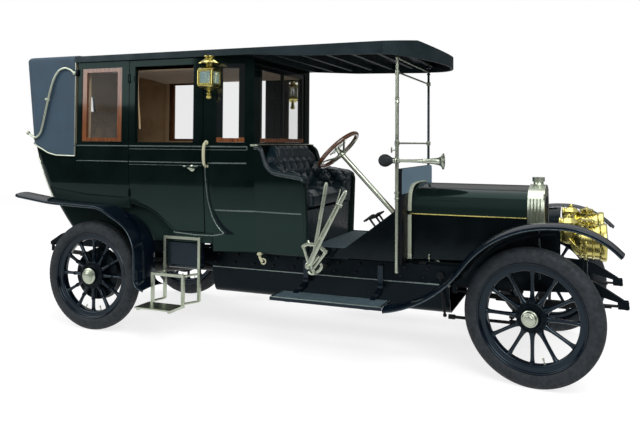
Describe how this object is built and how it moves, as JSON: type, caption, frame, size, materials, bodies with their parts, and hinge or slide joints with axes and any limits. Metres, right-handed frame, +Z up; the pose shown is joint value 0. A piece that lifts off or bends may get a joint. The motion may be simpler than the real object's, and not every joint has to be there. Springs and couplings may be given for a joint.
{
  "type": "brass era car",
  "caption": "Early motor landaulet: closed rear cabin under a folding leather head, open-sided driver's bench, brass lamps, spoked wheels that roll and steer, hinged doors and bonnet leaves.",
  "frame": {"origin": "on the ground, under the middle of the overall length and on the centre line", "axes": "+X forward to the radiator and lamps, +Y to the car's left, +Z up"},
  "size_m": [4.87, 1.9, 2.2919],
  "materials": {
    "body_paint": "gloss",
    "wing_paint": "gloss",
    "chassis_paint": "satin",
    "axle_steel": "satin",
    "spring_steel": "satin",
    "nickel": "polished",
    "iron": "as cast",
    "brass": "polished",
    "mahogany": "varnished",
    "floor_wood": "plain",
    "glass": "clear",
    "tyre_rubber": "matte",
    "head_leather": "grained",
    "roof_paint": "gloss",
    "rear_cloth": "woven",
    "driver_leather": "buttoned"
  },
  "bodies": {
    "car": {"body_floor": "body_paint", "bonnet_top": "body_paint", "chassis_frame": "chassis_paint", "dashboard": "mahogany", "driver_seat": "driver_leather", "driver_sides": "body_paint", "engine_block": "iron", "entrance_steps": "nickel", "front_axle": "axle_steel", "front_fender_left": "wing_paint", "front_fender_right": "wing_paint", "front_posts": "nickel", "front_quarter_left": "body_paint", "front_quarter_right": "body_paint", "hand_levers": "nickel", "headlamps": "brass", "horn": "nickel", "landau_irons": "nickel", "lanterns": "brass", "leather_head": "head_leather", "partition": "body_paint", "pedals": "nickel", "quarter_panel_left": "body_paint", "quarter_panel_right": "body_paint", "radiator": "nickel", "rear_axle": "axle_steel", "rear_fender_left": "wing_paint", "rear_fender_right": "wing_paint", "rear_panel": "body_paint", "rear_seat": "rear_cloth", "roof": "roof_paint", "seat_box": "body_paint", "springs": "spring_steel", "steering_column": "nickel", "step_boards": "chassis_paint", "step_boxes": "body_paint", "toe_board": "floor_wood", "toe_cheeks": "body_paint", "undertray": "chassis_paint", "window_frames": "mahogany", "window_glass": "glass"},
    "wheel_rear_right": {"wheel_rear_right": "wing_paint", "tyre_rear_right": "tyre_rubber"},
    "wheel_rear_left": {"wheel_rear_left": "wing_paint", "tyre_rear_left": "tyre_rubber"},
    "wheel_front_right": {"wheel_front_right": "wing_paint", "tyre_front_right": "tyre_rubber"},
    "wheel_front_left": {"wheel_front_left": "wing_paint", "tyre_front_left": "tyre_rubber"},
    "knuckle_right": {"knuckle_right": "axle_steel"},
    "knuckle_left": {"knuckle_left": "axle_steel"},
    "tie_rod": {"tie_rod": "axle_steel"},
    "drop_arm": {"drop_arm": "axle_steel"},
    "drag_link": {"drag_link": "axle_steel"},
    "steering_wheel": {"steering_wheel": "mahogany"},
    "rear_door_right": {"rear_door_right": "body_paint"},
    "rear_door_left": {"rear_door_left": "body_paint"},
    "bonnet_side_right": {"bonnet_side_right": "body_paint"},
    "bonnet_side_left": {"bonnet_side_left": "body_paint"}
  },
  "joints": [
    {"name": "rear_wheel_right_spin", "type": "hinge", "parent": "car", "child": "wheel_rear_right", "pos_m": [-1.585, -0.71, 0.44], "axis": [0, 1, 0], "continuous": true},
    {"name": "rear_wheel_left_spin", "type": "hinge", "parent": "car", "child": "wheel_rear_left", "pos_m": [-1.585, 0.71, 0.44], "axis": [0, 1, 0], "continuous": true},
    {"name": "steer_right", "type": "hinge", "parent": "car", "child": "knuckle_right", "pos_m": [1.875, -0.61, 0.44], "axis": [0, 0, 1], "range_deg": [-16, 38]},
    {"name": "steer_left", "type": "hinge", "parent": "car", "child": "knuckle_left", "pos_m": [1.875, 0.61, 0.44], "axis": [0, 0, 1], "range_deg": [-16, 38]},
    {"name": "front_wheel_right_spin", "type": "hinge", "parent": "knuckle_right", "child": "wheel_front_right", "pos_m": [1.85592, -0.70816, 0.44], "axis": [0.1908, 0.9816, 0], "continuous": true},
    {"name": "front_wheel_left_spin", "type": "hinge", "parent": "knuckle_left", "child": "wheel_front_left", "pos_m": [1.89408, 0.70816, 0.44], "axis": [0.1908, 0.9816, 0], "continuous": true},
    {"name": "tie_rod_pivot", "type": "hinge", "parent": "knuckle_right", "child": "tie_rod", "pos_m": [1.71794, -0.57947, 0.4], "axis": [0, 0, 1], "range_deg": [-38, 16]},
    {"name": "drag_link_pivot", "type": "hinge", "parent": "knuckle_right", "child": "drag_link", "pos_m": [1.90902, -0.435, 0.321], "axis": [0, 0, 1], "range_deg": [-38, 16]},
    {"name": "drop_arm_swing", "type": "hinge", "parent": "car", "child": "drop_arm", "pos_m": [1.215, -0.435, 0.6], "axis": [0, 1, 0], "range_deg": [-11, 25]},
    {"name": "steering_turn", "type": "hinge", "parent": "car", "child": "steering_wheel", "pos_m": [0.387, -0.28, 1.478], "axis": [-0.695, 0, 0.719], "range_deg": [-144, 342]},
    {"name": "rear_door_right_hinge", "type": "hinge", "parent": "car", "child": "rear_door_right", "pos_m": [-1.298, -0.6684, 1.4], "axis": [0, 0, -1], "range_deg": [0, 80]},
    {"name": "rear_door_left_hinge", "type": "hinge", "parent": "car", "child": "rear_door_left", "pos_m": [-1.298, 0.6684, 1.4], "axis": [0, 0, 1], "range_deg": [0, 80]},
    {"name": "bonnet_right_hinge", "type": "hinge", "parent": "car", "child": "bonnet_side_right", "pos_m": [1.378, -0.322, 1.016], "axis": [-1, 0, 0], "range_deg": [0, 150]},
    {"name": "bonnet_left_hinge", "type": "hinge", "parent": "car", "child": "bonnet_side_left", "pos_m": [1.378, 0.322, 1.016], "axis": [1, 0, 0], "range_deg": [0, 150]}
  ],
  "couplings": [
    {"joint": "steer_left", "follows": "steer_right", "ratio": 1},
    {"joint": "tie_rod_pivot", "follows": "steer_right", "ratio": -1},
    {"joint": "drag_link_pivot", "follows": "steer_right", "ratio": -1},
    {"joint": "drop_arm_swing", "follows": "steer_right", "ratio": 0.6483},
    {"joint": "steering_turn", "follows": "steer_right", "ratio": 9}
  ]
}
